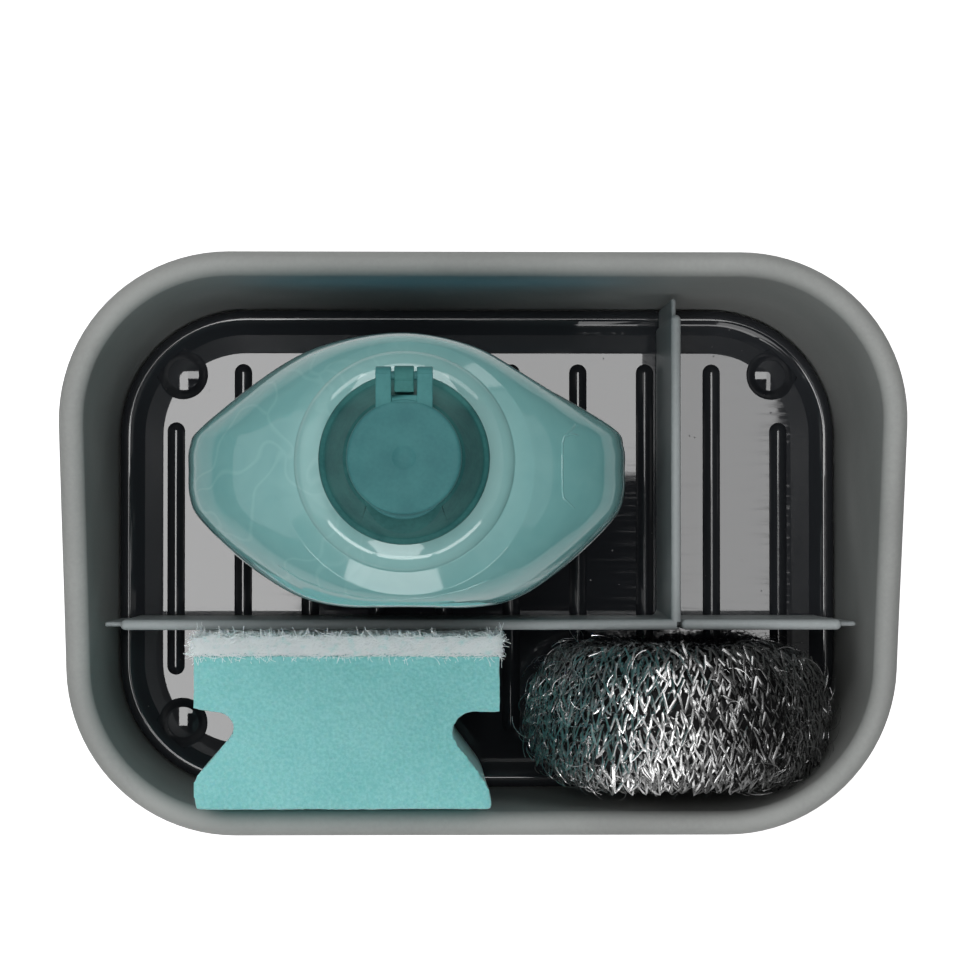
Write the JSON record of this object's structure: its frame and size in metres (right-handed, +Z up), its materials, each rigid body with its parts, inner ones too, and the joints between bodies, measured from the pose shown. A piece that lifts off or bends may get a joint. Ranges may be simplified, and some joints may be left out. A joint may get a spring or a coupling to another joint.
{
  "type": "sink caddy with soap bottle",
  "caption": "Sink caddy: tub with sloped rim, ribbed drip tray and dividers, holding a flip-top soap bottle, grip sponge and steel scourer",
  "frame": {"origin": "on the standing surface under the feet, at the middle of the tub's rim in plan", "axes": "+X along the tub's long side, to the right seen from the front; +Y to the back, where the rim is highest; +Z up"},
  "size_m": [0.1986, 0.138, 0.1962],
  "materials": {
    "tub": "satin",
    "feet": "matte",
    "tray": "gloss",
    "dividers": "satin",
    "bottle": "gloss",
    "soap": "gloss",
    "seal": "matte",
    "cap": "satin",
    "lid": "satin",
    "foam": "matte",
    "scour": "matte",
    "steel_knit": "satin"
  },
  "bodies": {
    "tub": {"tub": "tub", "foot_front_left": "feet", "foot_front_right": "feet", "foot_back_left": "feet", "foot_back_right": "feet"},
    "tray": {"drip_tray": "tray"},
    "corner_panel": {"corner_divider": "dividers"},
    "side_panel": {"side_divider": "dividers"},
    "soap_bottle": {"bottle": "bottle", "soap_fill": "soap", "neck_seal": "seal", "cap_base": "cap"},
    "lid": {"flip_lid": "lid"},
    "sponge": {"sponge_foam": "foam", "scour_pad": "scour"},
    "scourer": {"steel_scourer": "steel_knit"}
  },
  "joints": [
    {"name": "tray_lift", "type": "slide", "parent": "tub", "child": "tray", "axis": [0, 0, 1], "range_m": [0, 0.1]},
    {"name": "corner_panel_lift", "type": "slide", "parent": "tray", "child": "corner_panel", "axis": [0, 0, 1], "range_m": [0, 0.19]},
    {"name": "side_panel_lift", "type": "slide", "parent": "tray", "child": "side_panel", "axis": [0, 0, 1], "range_m": [0, 0.19]},
    {"name": "bottle_lift", "type": "slide", "parent": "tray", "child": "soap_bottle", "axis": [0, 0, 1], "range_m": [0, 0.1]},
    {"name": "sponge_lift", "type": "slide", "parent": "tray", "child": "sponge", "axis": [0, 0, 1], "range_m": [0, 0.19]},
    {"name": "scourer_lift", "type": "slide", "parent": "tray", "child": "scourer", "axis": [0, 0, 1], "range_m": [0, 0.19]},
    {"name": "lid_hinge", "type": "hinge", "parent": "soap_bottle", "child": "lid", "pos_m": [-0.0185, 0.0354, 0.19395], "axis": [-1, 0, 0], "range_deg": [0, 150]}
  ]
}
